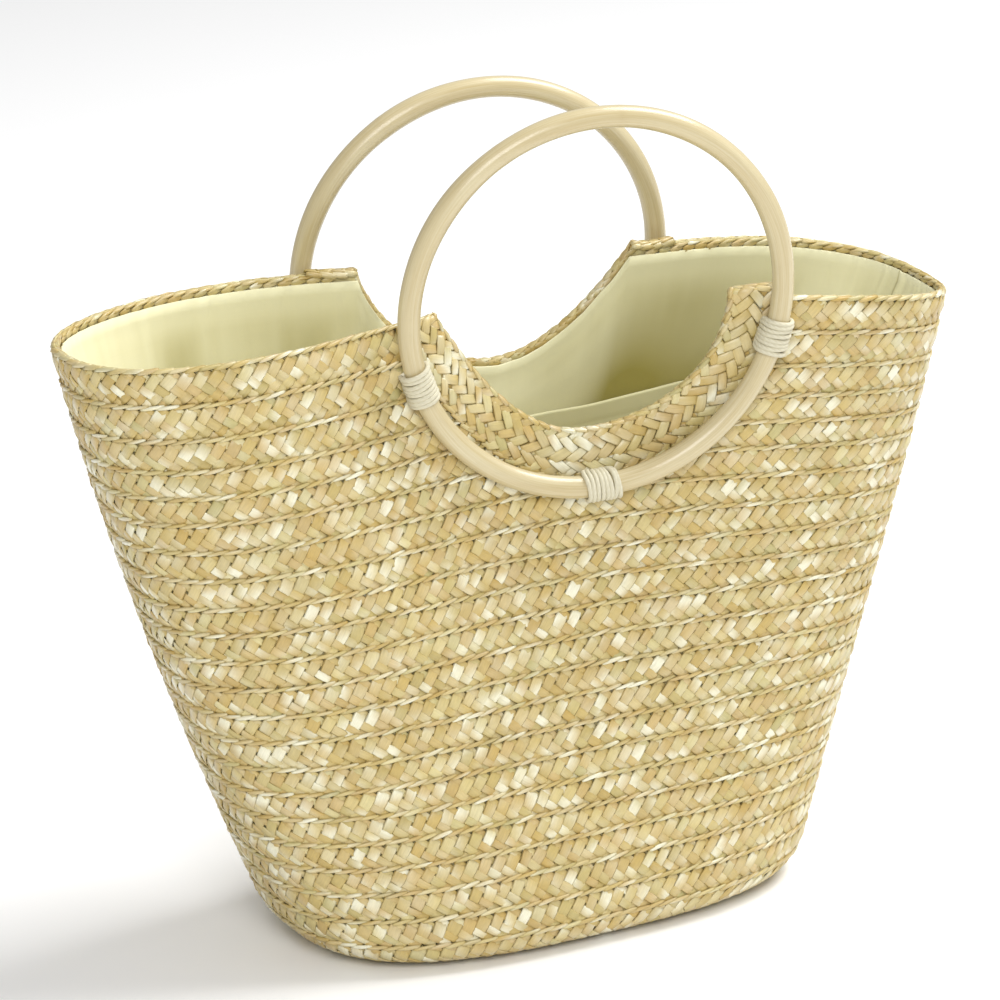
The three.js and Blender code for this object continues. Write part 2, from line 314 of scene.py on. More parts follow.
class Bench:
    """A material being made, with one method that adds any node."""

    def __init__(self, name: str) -> None:
        """Starts a material with a principled shader."""
        self.material = bpy.data.materials.new(name)
        self.material.use_nodes = True
        self.tree = self.material.node_tree
        self.tree.nodes.clear()
        self.shader = self.tree.nodes.new("ShaderNodeBsdfPrincipled")
        output = self.tree.nodes.new("ShaderNodeOutputMaterial")
        self.tree.links.new(self.shader.outputs[0], output.inputs["Surface"])

    def _set(self, socket: bpy.types.NodeSocket, value: Any) -> None:
        """Links a shade to a socket, or sets its value."""
        if isinstance(value, Shade):
            self.tree.links.new(value.socket, socket)
        elif isinstance(value, (tuple, list, np.ndarray)) and socket.type == "RGBA":
            socket.default_value = (*map(float, value[:3]), 1.0)
        else:
            socket.default_value = value

    def make(self, kind: str, settings: dict[str, Any], values: dict[Any, Any], out: Any = 0) -> Shade:
        """Adds a node.

        Args:
            kind: Its type.
            settings: Its own settings, set first.
            values: Values or shades for its input sockets, by name or number.
            out: Name or number of the output to hand back.

        Returns:
            The output.
        """
        node = self.tree.nodes.new(kind)
        for key, value in settings.items():
            setattr(node, key, value)
        for key, value in values.items():
            self._set(node.inputs[key], value)
        return Shade(self, node.outputs[out])

    def mix(self, factor: Any, first: Any, second: Any, blend: str = "MIX") -> Shade:
        """Mixes two colours.

        Args:
            factor: Share of the second.
            first: A colour or shade.
            second: A colour or shade.
            blend: Way of mixing.

        Returns:
            The mixed colour.
        """
        return self.make(
            "ShaderNodeMix",
            {"data_type": "RGBA", "blend_type": blend, "clamp_factor": True},
            {0: factor, 6: first, 7: second},
            2,
        )

    def attribute(self, name: str, out: str) -> Shade:
        """Reads one of the mesh's own attributes."""
        return self.make("ShaderNodeAttribute", {"attribute_name": name}, {}, out)

    def sine(self, value: Shade) -> Shade:
        """The sine of a value."""
        return self.make("ShaderNodeMath", {"operation": "SINE"}, {0: value})

    def axis(self, where: Shade, name: str) -> Shade:
        """One coordinate of a place, by its axis."""
        return self.make("ShaderNodeSeparateXYZ", {}, {0: where}, name)

    def pattern(self, across: float, along: float, turned: float = 0.0) -> Shade:
        """The piece's own pattern coordinates in millimetres, scaled and turned.

        Args:
            across: Scale of the first coordinate.
            along: Scale of the second.
            turned: Turn in radians.

        Returns:
            The coordinates.
        """
        plain = self.make("ShaderNodeUVMap", {"uv_map": "pattern"}, {})
        return self.make(
            "ShaderNodeMapping",
            {"vector_type": "POINT"},
            {"Vector": plain, "Scale": (across, along, 1.0), "Rotation": (0.0, 0.0, turned)},
        )

    def object_place(self) -> Shade:
        """Object coordinates, in metres."""
        return self.make("ShaderNodeTexCoord", {}, {}, "Object")

    def noise(self, where: Shade, scale: float, detail: float = 3.0, roughness: float = 0.5) -> Shade:
        """Noise from 0 to 1.

        Args:
            where: Coordinates.
            scale: Scale.
            detail: Detail.
            roughness: Roughness of the detail.

        Returns:
            The noise.
        """
        return self.make(
            "ShaderNodeTexNoise",
            {},
            {"Vector": where, "Scale": scale, "Detail": detail, "Roughness": roughness},
            "Fac",
        )

    def bump(self, height: Shade, strength: float, distance: float) -> Shade:
        """A normal bent by a height.

        Args:
            height: Height from 0 to 1.
            strength: Share of the effect.
            distance: Height of 1, in metres.

        Returns:
            The normal.
        """
        return self.make(
            "ShaderNodeBump", {}, {"Strength": strength, "Distance": distance, "Height": height}, "Normal"
        )

    def finish(self, **values: Any) -> bpy.types.Material:
        """Sets the shader's sockets, written with _ for each space, and hands back the material."""
        for key, value in values.items():
            self._set(self.shader.inputs[key.replace("_", " ")], value)
        return self.material


@dataclass(frozen=True)
class StrawFinish:
    """Split wheat straw: a satin strand with fine ribs along it, in the strand's own tint."""

    name: str
    dull: float = 0.56
    shiny: float = 0.3
    rib_pitch: float = 2.6
    rib_height: float = 0.00007

    def material(self) -> bpy.types.Material:
        """Makes the material."""
        bench = Bench(self.name)
        tint = bench.attribute("tint", "Color")
        gloss = bench.attribute("gloss", "Fac")
        ribs = bench.noise(bench.pattern(self.rib_pitch, 0.09), 1.0, 2.0)
        fleck = bench.noise(bench.pattern(1.1, 0.35), 1.0, 3.0, 0.6)
        streak = ribs * 0.3 + fleck * 0.24 + 0.73
        shade = bench.make("ShaderNodeCombineColor", {}, {0: streak, 1: streak, 2: streak * 0.94 + 0.04})
        colour = bench.mix(1.0, tint, shade, "MULTIPLY")
        rough = (1.0 - gloss) * (self.dull - self.shiny) + self.shiny + ribs * 0.12 - 0.06
        return bench.finish(
            Base_Color=colour,
            Roughness=rough,
            Coat_Weight=gloss * 0.55,
            Coat_Roughness=0.22,
            Normal=bench.bump(ribs, 0.7, self.rib_height),
        )


@dataclass(frozen=True)
class ClothFinish:
    """Plain cream cotton: a fine even weave with a faint slub.

    Painted shade, read from a mesh attribute, takes the cloth over to its shadow colour in soft blotches.
    """

    name: str
    colour: Colour
    shadow: Colour
    thread: float = 2.6
    blotches: float = 13.0

    def material(self) -> bpy.types.Material:
        """Makes the material."""
        bench = Bench(self.name)
        place = bench.pattern(self.thread * math.pi, self.thread * math.pi)
        weave = bench.sine(bench.axis(place, "X")) * bench.sine(bench.axis(place, "Y")) * 0.5 + 0.5
        slub = bench.noise(bench.pattern(0.9, 0.05), 1.0, 2.0) + bench.noise(bench.pattern(0.05, 0.9), 1.0, 2.0)
        soft = bench.noise(bench.pattern(0.02, 0.02), 1.0, 2.0)
        tone = slub * 0.22 + weave * 0.12 + soft * 0.4 - 0.1
        blotch = bench.noise(bench.object_place(), self.blotches, 1.0)
        # Painted shade: the attribute's share, broken into soft blotches.
        shaded = bench.attribute("gloss", "Fac") * (blotch * 2.2 - 0.1)
        tinted = bench.mix(shaded, self.colour, self.shadow)
        darker = bench.mix(0.16, tinted, self.shadow)
        colour = bench.mix(tone, darker, tinted)
        return bench.finish(
            Base_Color=colour,
            Roughness=0.82,
            Sheen_Weight=0.15,
            Sheen_Roughness=0.5,
            Normal=bench.bump(weave * 0.7 + slub * 0.3, 0.35, 0.00012),
        )


@dataclass(frozen=True)
class RattanFinish:
    """Pale natural rattan under a clear satin coat, with a faint grain along the stock."""

    name: str
    pale: Colour
    warm: Colour

    def material(self) -> bpy.types.Material:
        """Makes the material."""
        bench = Bench(self.name)
        fibre = bench.noise(bench.pattern(1.5, 0.022), 1.0, 4.0, 0.6)
        broad = bench.noise(bench.pattern(0.12, 0.012), 1.0, 2.0)
        tone = fibre * 1.5 + broad * 1.0 - 0.75
        grain = bench.mix(tone, self.warm, self.pale)
        pore = bench.noise(bench.pattern(4.5, 0.10), 1.0, 2.0, 0.7)
        deep = bench.make("ShaderNodeMapRange", {}, {0: pore, 1: 0.60, 2: 0.78, 3: 0.0, 4: 0.4})
        dark = tuple(0.55 * value for value in self.warm)
        colour = bench.mix(deep, bench.mix(1.0, grain, bench.attribute("tint", "Color"), "MULTIPLY"), dark)
        return bench.finish(
            Base_Color=colour,
            Roughness=fibre * 0.14 + 0.32,
            Coat_Weight=0.45,
            Coat_Roughness=0.16,
            Normal=bench.bump(fibre, 0.35, 0.00012),
        )


@dataclass(frozen=True)
class CordFinish:
    """Off-white waxed cord, its twist showing as slanted ridges."""

    name: str
    colour: Colour
    shadow: Colour

    def material(self) -> bpy.types.Material:
        """Makes the material."""
        bench = Bench(self.name)
        slanted = bench.pattern(4.2, 4.2, math.radians(38))
        twist = bench.sine(bench.axis(slanted, "X")) * 0.5 + 0.5
        fuzz = bench.noise(bench.pattern(2.0, 0.7), 1.0, 3.0)
        colour = bench.mix(twist * 0.4 + fuzz * 0.6, self.shadow, self.colour)
        return bench.finish(
            Base_Color=colour,
            Roughness=0.62,
            Sheen_Weight=0.1,
            Normal=bench.bump(twist * 0.6 + fuzz * 0.4, 0.5, 0.00014),
        )


@dataclass(frozen=True)
class PlainFinish:
    """The even pale surface that the bag stands on."""

    name: str
    colour: Colour

    def material(self) -> bpy.types.Material:
        """Makes the material."""
        bench = Bench(self.name)
        return bench.finish(Base_Color=self.colour, Roughness=0.9, Specular_IOR_Level=0.1)


# ---- The basket's wall ----


@dataclass(frozen=True)
class WallSide:
    """What differs between the front and back of the basket."""

    sign: int
    swell: float
    left_fullness: float
    right_fullness: float
    pinch_depth: float
    pinch_place: float
    pinch_width: float
    pinch_widening: float
    pinch_growth: float
    lean: float
    scoop_x: float
    left_flare: float
    right_flare: float
    scoop_depth: float


@dataclass(frozen=True)
class BasketWall:
    """The basket's outermost face: a rounded oblong, pinched and a little twisted upwards."""

    front: WallSide = WallSide(-1, -12.4, 2.69, 3.13, 0.73, -0.04, 0.59, 0.17, 1.43, -0.1, 6, 1, 0.5, 56.8)
    back: WallSide = WallSide(1, 4.5, 2.39, 3.02, 0.51, 0.17, 0.62, 0, 2.21, 0.04, 11, 0.75, 1, 49)
    height: float = 283.5
    foot_length: float = 242
    foot_depth: float = 145
    mouth_length: float = 406
    mouth_depth: float = 163
    end_swell: float = 7.4
    foot_radius: float = 18.8
    foot_fullness: float = 2.68
    twist: float = math.radians(-7.85)
    shift_x: float = -10.8
    shift_y: float = 3
    left_end_drop: float = 4.5
    right_end_drop: float = 17.1
    end_drop_power: float = 2.5
    left_sharpening: float = 0.28
    scoop_half_width: float = 62.5
    middle_x: float = 10.478
    middle_y: float = -5.351

    def point(self, turn: Array, share: Array) -> Array:
        """Points of the outermost face.

        The outline's reach is (|cos|^n + |sin|^n)^(-1/n) of each half axis. The half axes grow
        evenly with the height, bow out half way up and tuck in round the foot's quarter circle.
        The pinch takes a bell-shaped share off the depth, growing with a power of the height.

        Args:
            turn: Turn about Z in radians, 0 at the right end.
            share: Share of the height.

        Returns:
            Places in millimetres.
        """
        turn, share = np.broadcast_arrays(turn, np.maximum(share, 0.0))
        c, s = np.cos(turn), np.sin(turn)
        is_front, is_left = s < 0, c < 0

        def pick(name: str) -> Array:
            """One of the side's values at each turn."""
            return np.where(is_front, getattr(self.front, name), getattr(self.back, name))

        mouth_fullness = np.where(is_left, pick("left_fullness"), pick("right_fullness"))
        fullness = self.foot_fullness + (mouth_fullness - self.foot_fullness) * share
        fullness = fullness - np.where(is_left, self.left_sharpening * share**4, 0)
        reach = (np.abs(c) ** fullness + np.abs(s) ** fullness) ** (-1 / fullness)
        along, across = c * reach, s * reach
        bow = 4 * share * (1 - share)
        q = np.clip(1 - self.height * share / self.foot_radius, 0, 1)
        tuck = self.foot_radius * (1 - np.sqrt(1 - q * q))
        length = self.foot_length + (self.mouth_length - self.foot_length) * share
        depth = self.foot_depth + (self.mouth_depth - self.foot_depth) * share
        half_length = length / 2 + self.end_swell * bow - tuck
        half_depth = depth / 2 + pick("swell") * bow - tuck
        spread = pick("pinch_width") * (1 + pick("pinch_widening") * (1 - share))
        bell = np.exp(-(((along - pick("pinch_place")) / spread) ** 2))
        pinch = pick("pinch_depth") * bell * share ** pick("pinch_growth")
        drop = np.where(is_left, self.left_end_drop, self.right_end_drop)
        drop = drop * np.abs(along) ** self.end_drop_power
        x = half_length * along
        y = half_depth * across * (1 - pinch + pick("lean") * share * along)
        a = self.twist * share
        return np.stack(
            [
                x * np.cos(a) - y * np.sin(a) + self.shift_x * share + self.middle_x,
                x * np.sin(a) + y * np.cos(a) + self.shift_y * share + self.middle_y,
                share * (self.height - drop),
            ],
            axis=-1,
        )

    def outward(self, turn: Array, share: Array) -> Array:
        """Unit vectors square to the face, as the cross product of its two slopes."""
        step = 2e-4
        share = np.maximum(share, step)
        across = self.point(turn + step, share) - self.point(turn - step, share)
        upward = self.point(turn, share + step) - self.point(turn, share - step)
        normal = np.cross(across, upward)
        return normal / np.linalg.norm(normal, axis=-1, keepdims=True)

    def lifted(self, turn: Array, share: Array, lift: Array) -> Array:
        """Points that stand off the face by a lift, which is below zero inside it."""
        return self.point(turn, share) + self.outward(turn, share) * np.asarray(lift)[..., None]

    def behind(self, side: WallSide, x: Array, z: Array) -> tuple[Array, Array]:
        """Turn and share of the points straight behind x and z on one side.

        The turn is halved in on x at a share, and the share is then corrected by z, in turns.

        Args:
            side: Front or back.
            x: Place along X.
            z: Height.

        Returns:
            The turns and the shares.
        """
        share = z / self.height
        turn = np.zeros_like(share)
        for _ in range(5):
            left = np.full_like(share, math.pi)
            right = np.full_like(share, TAU if side.sign < 0 else 0.0)
            for _ in range(26):
                turn = (left + right) / 2
                low = self.point(turn, share)[..., 0] < x
                left, right = np.where(low, turn, left), np.where(low, right, turn)
            share = share * z / self.point(turn, share)[..., 2]
        return turn, share

    def scoop_height(self, side: WallSide, x: Array) -> Array:
        """Height of a side's scoop edge at x: the depth times (1 - u^2) to the flare, u across."""
        u = (x - self.middle_x - side.scoop_x) / self.scoop_half_width
        flare = np.where(u < 0, side.left_flare, side.right_flare)
        return self.height - side.scoop_depth * np.maximum(0, 1 - u * u) ** flare

    def top_share(self, turn: Array, rim_share: float, clear: float) -> Array:
        """Share of the height at which a skin ends: the rim, or the scoop's edge where it is cut.

        Args:
            turn: Turns of the skin's columns.
            rim_share: Where the skin ends at the rim.
            clear: How far it stays below the scoop's edge.

        Returns:
            The share for each turn.
        """
        side_is_front = np.sin(turn) < 0
        share = np.full_like(turn, rim_share)
        for _ in range(40):
            place = self.point(turn, share)
            front = self.scoop_height(self.front, place[:, 0])
            back = self.scoop_height(self.back, place[:, 0])
            edge = np.where(side_is_front, front, back)
            cut = edge < self.height - 0.01
            wanted = np.where(cut, (edge - clear) * share / place[:, 2], rim_share)
            share = 0.5 * share + 0.5 * np.minimum(wanted, rim_share)
        return share

    def columns(self, even: int, extra: int) -> Array:
        """Turns for a skin's columns, evenly spaced and closer where the scoops end.

        Args:
            even: Number of even columns.
            extra: Number of further columns at each scoop end.

        Returns:
            Sorted turns from 0 to a whole turn.
        """
        turns = [TAU * np.arange(even) / even]
        for side in (self.front, self.back):
            for edge in (-1, 1):
                near = side.scoop_x + self.middle_x + edge * self.scoop_half_width
                x = near + np.linspace(-9, 7, extra) * -edge
                found, _ = self.behind(side, x, np.full(extra, 0.96 * self.height))
                turns.append(np.mod(found, TAU))
        return np.unique(np.round(np.concatenate(turns), 5))


WALL = BasketWall()
ROW_EDGES = (
    0, 16, 31.5, 45.4, 57.4, 69.5, 82.2, 95.3, 108.4, 120.5, 133.2, 146,
    158.8, 170.8, 183.6, 195.6, 207.7, 219.7, 231.8, 243.8, 256.6, 269.3, 283.5,
)  # fmt: skip


# ---- Straw ----


class Straw(Enum):
    """Tints that the strands come in, and the painted glint, as linear colours."""

    GOLDEN = linear(193, 171, 109)
    DEEP = linear(188, 160, 92)
    SAND = linear(194, 170, 117)
    GREENISH = linear(184, 173, 119)
    PALE = linear(207, 194, 143)
    # Painted glint and sheen: near white, mixed into strands where they catch the light.
    PAINTED_GLINT = linear(232, 229, 208)


PLAIN_SHARES = {
    Straw.GOLDEN: 0.36,
    Straw.DEEP: 0.15,
    Straw.SAND: 0.22,
    Straw.GREENISH: 0.12,
    Straw.PALE: 0.15,
}


@dataclass(frozen=True)
class Ribbon:
    """One stretch of strand that shows, as a closed ribbon bent over its neighbours.

    Its middle line runs at an angle to the plait. Across, its top is a low arch that tips to lap
    over the next. Along, its height is the rise less a dive times the cube of the place, so both
    ends sink.
    """

    depth: float
    length: float
    width: float
    angle: float
    rise: float
    dive: float = 0.75
    arch: float = 0.14
    taper: float = 0.06
    lap: float = 0.16
    body: float = 0.8
    rings: int = 5
    slack: float = 1.2

    def lay(self, rng: np.random.Generator, along: Array) -> tuple[Array, Array]:
        """Plait coordinates of one ribbon at each place along the plait.

        Args:
            rng: Source of the small differences between strands.
            along: Place of each ribbon's middle along the plait.

        Returns:
            Along, depth and lift of each point, and the share along and across each ribbon.
        """
        count = len(along)
        bends = {3: [-1.0, 0.0, 1.0], 5: [-1.0, -0.7, 0.0, 0.7, 1.0]}
        a = np.array(bends[self.rings])[None, :, None]
        b = np.array([-1.0, -0.72, 0.72, 1.0, 0.0])[None, None, :]
        top = np.array([0.0, 1.0, 1.0, 0.0, 0.0])[None, None, :]
        under = np.array([0.35, 0.0, 0.0, 0.35, 1.0])[None, None, :]

        def vary(spread: float) -> Array:
            """One small random number for each ribbon."""
            return self.slack * spread * rng.uniform(-1, 1, count)[:, None, None]

        half = self.length / 2 * (1 + vary(0.07))
        wide = self.width / 2 * (1 + vary(0.09)) * (1 - self.taper * np.abs(a) ** 2.4)
        angle = np.radians(self.angle * (1 + vary(0.05))) + vary(0.05)
        run, spread = a * half, b * wide
        lift = self.rise + vary(0.10) + self.arch * top - self.body * under
        lift = lift - self.dive * np.abs(a) ** 3 + vary(0.14) * a + (self.lap + vary(0.16)) * b
        s = along[:, None, None] + run * np.cos(angle) + spread * np.sin(angle) + vary(0.16)
        w = self.depth - run * np.sin(angle) + spread * np.cos(angle) + vary(0.14)
        grid = np.stack(np.broadcast_arrays(s, w, lift), axis=-1)
        shares = np.stack(np.broadcast_arrays(a + 0 * s, b + 0 * s), axis=-1)
        return grid, shares

    def faces(self, count: int) -> list[Array]:
        """Faces of a number of ribbons, each a closed body."""
        sides = 5
        one = band_faces(self.rings, sides)
        ends = np.stack([np.arange(sides)[::-1], np.arange(sides) + (self.rings - 1) * sides])
        size = self.rings * sides
        starts = size * np.arange(count)[:, None, None]
        return [(block[None] + starts).reshape(-1, block.shape[1]) for block in (one, ends)]


@dataclass
class StrandTints:
    """Chooses the strands' tints, with painted glints and sheen. Bright ones come in runs, where straw lies shiny
    side out.
    """

    rng: np.random.Generator
    calm: float = 3.9
    scatter: float = 0.3
    lean: tuple[float, float] = (0.8, 0.6)
    faint: tuple[float, float, float] = (0.2, -0.5, 0.5)
    strong: tuple[float, float, float] = (0.8, 0.4, 1.5)

    def __post_init__(self) -> None:
        """Draws the waves whose sum, along the plait, says how bright the straw runs."""
        self.lengths = self.rng.uniform(14, 80, 7)
        self.phases = self.rng.uniform(0, TAU, 7)

    def choose(self, along: Array, shares: Array, brightness: float) -> tuple[Array, Array]:
        """Tints and glosses for the points of each strand.

        A strand's plain tint is a mix of two of the palette's. Its painted sheen leans one way along
        and across it, as satin's does, and mixes in the painted glint by a faint and a strong step.

        Args:
            along: Place of each strand along the plait.
            shares: Each point's share along and across its strand.
            brightness: How many of them are bright, 0 being usual.

        Returns:
            A colour and a gloss for each point.
        """
        count = len(along)
        waves = np.sin(TAU * along[:, None] / self.lengths + self.phases).sum(axis=1)
        level = waves / self.calm + self.rng.normal(0, self.scatter, count) + brightness
        palette = np.array([tint.value for tint in PLAIN_SHARES])
        chance = list(PLAIN_SHARES.values())
        first, second = (palette[self.rng.choice(len(palette), count, p=chance)] for _ in range(2))
        plain = (0.55 * first + 0.45 * second) * self.rng.uniform(0.93, 1.05, (count, 1))
        lean = self.rng.uniform(-1, 1, (count, 1, 1, 2)) * np.array(self.lean)
        local = level[:, None, None] + (lean * shares).sum(axis=-1)
        # Painted glint: mixed in by two steps of the strand's leaning level.
        glint_share = sum(share * ramp(local, low, high) for share, low, high in (self.faint, self.strong))
        colour = plain[:, None, None] * (1 - glint_share[..., None]) + np.array(Straw.PAINTED_GLINT.value) * glint_share[..., None]
        return colour, 0.3 + 0.7 * glint_share


Mapper = Callable[[Array, Array, Array], Array]


def weave(
    surface: Surface,
    ribbon: Ribbon,
    place: Mapper,
    along: Array,
    tints: StrandTints,
    brightness: float = 0.0,
    keep: Callable[[Array], Array] | None = None,
) -> None:
    """Adds a row of ribbons to a surface.

    Args:
        surface: Where they go.
        ribbon: The stretch of strand that repeats.
        place: Turns along, depth and lift in the plait into places in space.
        along: Place of each ribbon's middle along the plait.
        tints: Chooses their tints.
        brightness: How many of them are bright, 0 being usual.
        keep: Says which to keep from the middle of each, in space.
    """
    grid, shares = ribbon.lay(tints.rng, along)
    colour, gloss = tints.choose(along, shares, brightness)
    offsets = tints.rng.uniform(0, 500, (len(along), 2))
    points = place(grid[..., 0], grid[..., 1], grid[..., 2])
    if keep is not None:
        kept = keep(points.mean(axis=(1, 2)))
        points, shares, colour, gloss = points[kept], shares[kept], colour[kept], gloss[kept]
        offsets = offsets[kept]
    count = len(points)
    if not count:
        return
    a, b = shares[..., 0], shares[..., 1]
    # Painted shade: each strand darker and warmer towards its ends, where they dive under its neighbours, and a
    # little along its edges.
    tucked_shade = 1 - 0.1 * np.abs(a) ** 3 - 0.05 * np.abs(b) ** 2
    tint = colour * tucked_shade[..., None] ** np.array([1.0, 1.2, 2.2])
    pattern = np.stack(
        [b * ribbon.width / 2 + offsets[:, None, None, 0], a * ribbon.length / 2 + offsets[:, None, None, 1]],
        axis=-1,
    )
    surface.add(
        points.reshape(-1, 3),
        ribbon.faces(count),
        pattern.reshape(-1, 2),
        tint.reshape(-1, 3),
        gloss.reshape(-1),
    )


@dataclass
class PlaitRow:
    """One row of plait round the wall, bulging between its top edge and the next row's.

    Rows count from the rim down.
    """

    index: int
    seat: float = -1.3
    bulge: float = 1.15
    roll_radius: float = 1.5
    roll_start: float = 1.9
    samples: int = 1600

    def __post_init__(self) -> None:
        """Measures the row along its middle."""
        first, last = ROW_EDGES[self.index], ROW_EDGES[self.index + 1]
        self.deep = last - first
        self.top = 1 - first / WALL.height
        self.edge = self.roll_start if self.index == 0 else -1.0
        turn = np.linspace(0, TAU, self.samples)
        line = WALL.point(turn, np.full_like(turn, 1 - (first + last) / 2 / WALL.height))
        self.turns = turn
        self.lengths = run_length(line)
        self.girth = float(self.lengths[-1])

    def place(self, s: Array, w: Array, h: Array) -> Array:
        """Places in space of the row's coordinates.

        The depth w runs down the wall from the row's top edge. The seat bulges as one less the
        square of the distance from just above the row's middle. Above its own edge, the rim's
        row rolls over on a half circle and goes on down the inside.

        Args:
            s: Place along the row.
            w: Depth below its top edge.
            h: Lift off its seat.

        Returns:
            Places in millimetres.
        """
        turn = np.interp(np.mod(s, self.girth), self.lengths, self.turns)
        share = self.top - np.maximum(w, self.edge) / WALL.height
        across = (np.maximum(w, self.edge) / self.deep - 0.45) / 0.66
        seat = self.seat + self.bulge * (1 - across**2)
        over = np.maximum(self.edge - w, 0)
        rolled = np.minimum(over / self.roll_radius, math.pi)
        down = np.maximum(over - math.pi * self.roll_radius, 0)
        reach = self.roll_radius + h
        place = WALL.lifted(turn, share, seat - self.roll_radius + reach * np.cos(rolled))
        place[..., 2] = np.maximum(place[..., 2] + reach * np.sin(rolled) - down, 0.15)
        return place


class Scoops:
    """Keeps strands out of the scoops and from under their trims."""

    def __init__(self, margin: float) -> None:
        """Samples both scoops' edges.

        Args:
            margin: How far outside the edge strands stay.
        """
        self.margin = margin
        u = -np.cos(np.linspace(0, math.pi, 160))
        self.edges = {}
        for side in (WALL.front, WALL.back):
            x = WALL.middle_x + side.scoop_x + WALL.scoop_half_width * u
            self.edges[side.sign] = np.stack([x, WALL.scoop_height(side, x)], axis=-1)

    def keep(self, middles: Array) -> Array:
        """Which points lie outside both scoops by the margin."""
        good = np.ones(len(middles), dtype=bool)
        for side in (WALL.front, WALL.back):
            here = np.sign(middles[:, 1] - WALL.middle_y) == side.sign
            flat = middles[:, [0, 2]]
            edge = self.edges[side.sign]
            gap = np.sqrt(((flat[:, None] - edge[None]) ** 2).sum(axis=-1)).min(axis=1)
            x = flat[:, 0] - WALL.middle_x - side.scoop_x
            inside = (np.abs(x) < WALL.scoop_half_width) & (flat[:, 1] > WALL.scoop_height(side, flat[:, 0]))
            good &= ~(here & (inside | (gap < self.margin)))
        return good


